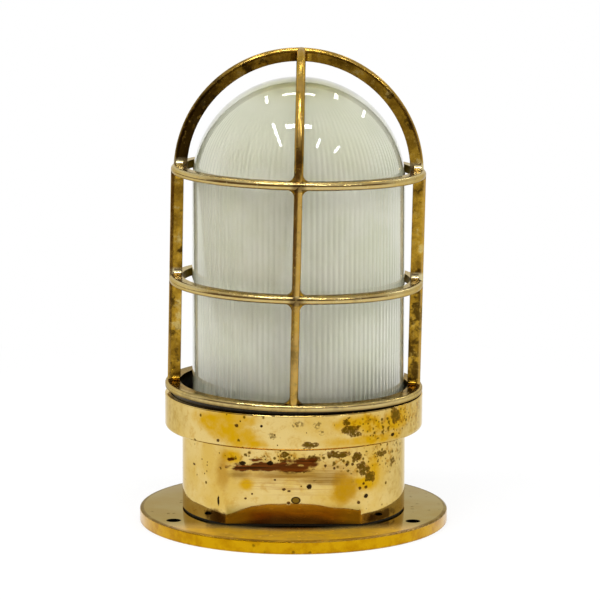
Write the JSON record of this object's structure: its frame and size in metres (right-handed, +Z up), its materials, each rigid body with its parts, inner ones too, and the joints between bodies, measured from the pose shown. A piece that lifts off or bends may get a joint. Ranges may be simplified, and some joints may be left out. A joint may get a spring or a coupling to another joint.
{
  "type": "bulkhead light",
  "caption": "Ship's brass bulkhead light: round flange, round housing with a flat front, fluted glass globe and a cast brass guard that unscrews.",
  "frame": {"origin": "centre of the flange's underside", "axes": "+Z up along the housing's axis, from the flange to the guard; -Y out of the housing's flat front"},
  "size_m": [0.15, 0.15, 0.2305],
  "materials": {
    "polished_brass": "polished, spotted with tarnish",
    "tarnished_brass": "cast, tarnished to bronze brown with worn bright edges",
    "plain_brass": "turned, dull",
    "black_rubber": "matt",
    "porcelain": "glazed white",
    "opal_glass": "opal white",
    "fluted_glass": "pressed, smooth outside, fluted inside"
  },
  "bodies": {
    "base": {"base_flange": "polished_brass", "base_gasket": "black_rubber", "housing": "polished_brass", "flange_screws": "plain_brass", "cable_grommet": "black_rubber", "lampholder_bracket": "plain_brass", "bracket_screws": "plain_brass", "lampholder_body": "porcelain", "lampholder_screws": "plain_brass", "lampholder_shell": "plain_brass", "centre_contact": "plain_brass", "terminal_blocks": "plain_brass", "terminal_screws": "plain_brass", "earth_screw": "plain_brass", "earth_washer": "plain_brass", "bulb": "opal_glass"},
    "globe": {"glass_globe": "fluted_glass", "rim_gasket": "black_rubber"},
    "guard": {"guard": "tarnished_brass"}
  },
  "joints": [
    {"name": "globe_lift", "type": "slide", "parent": "base", "child": "globe", "axis": [0.0192, 0, 0.9998], "range_m": [0, 0.012]},
    {"name": "guard_turn", "type": "hinge", "parent": "globe", "child": "guard", "pos_m": [0, 0, 0.0652], "axis": [0.0192, 0, 0.9998], "range_deg": [0, 1440]}
  ],
  "couplings": [
    {"joint": "globe_lift", "follows": "guard_turn", "m_per_rad": 0.00047746}
  ]
}
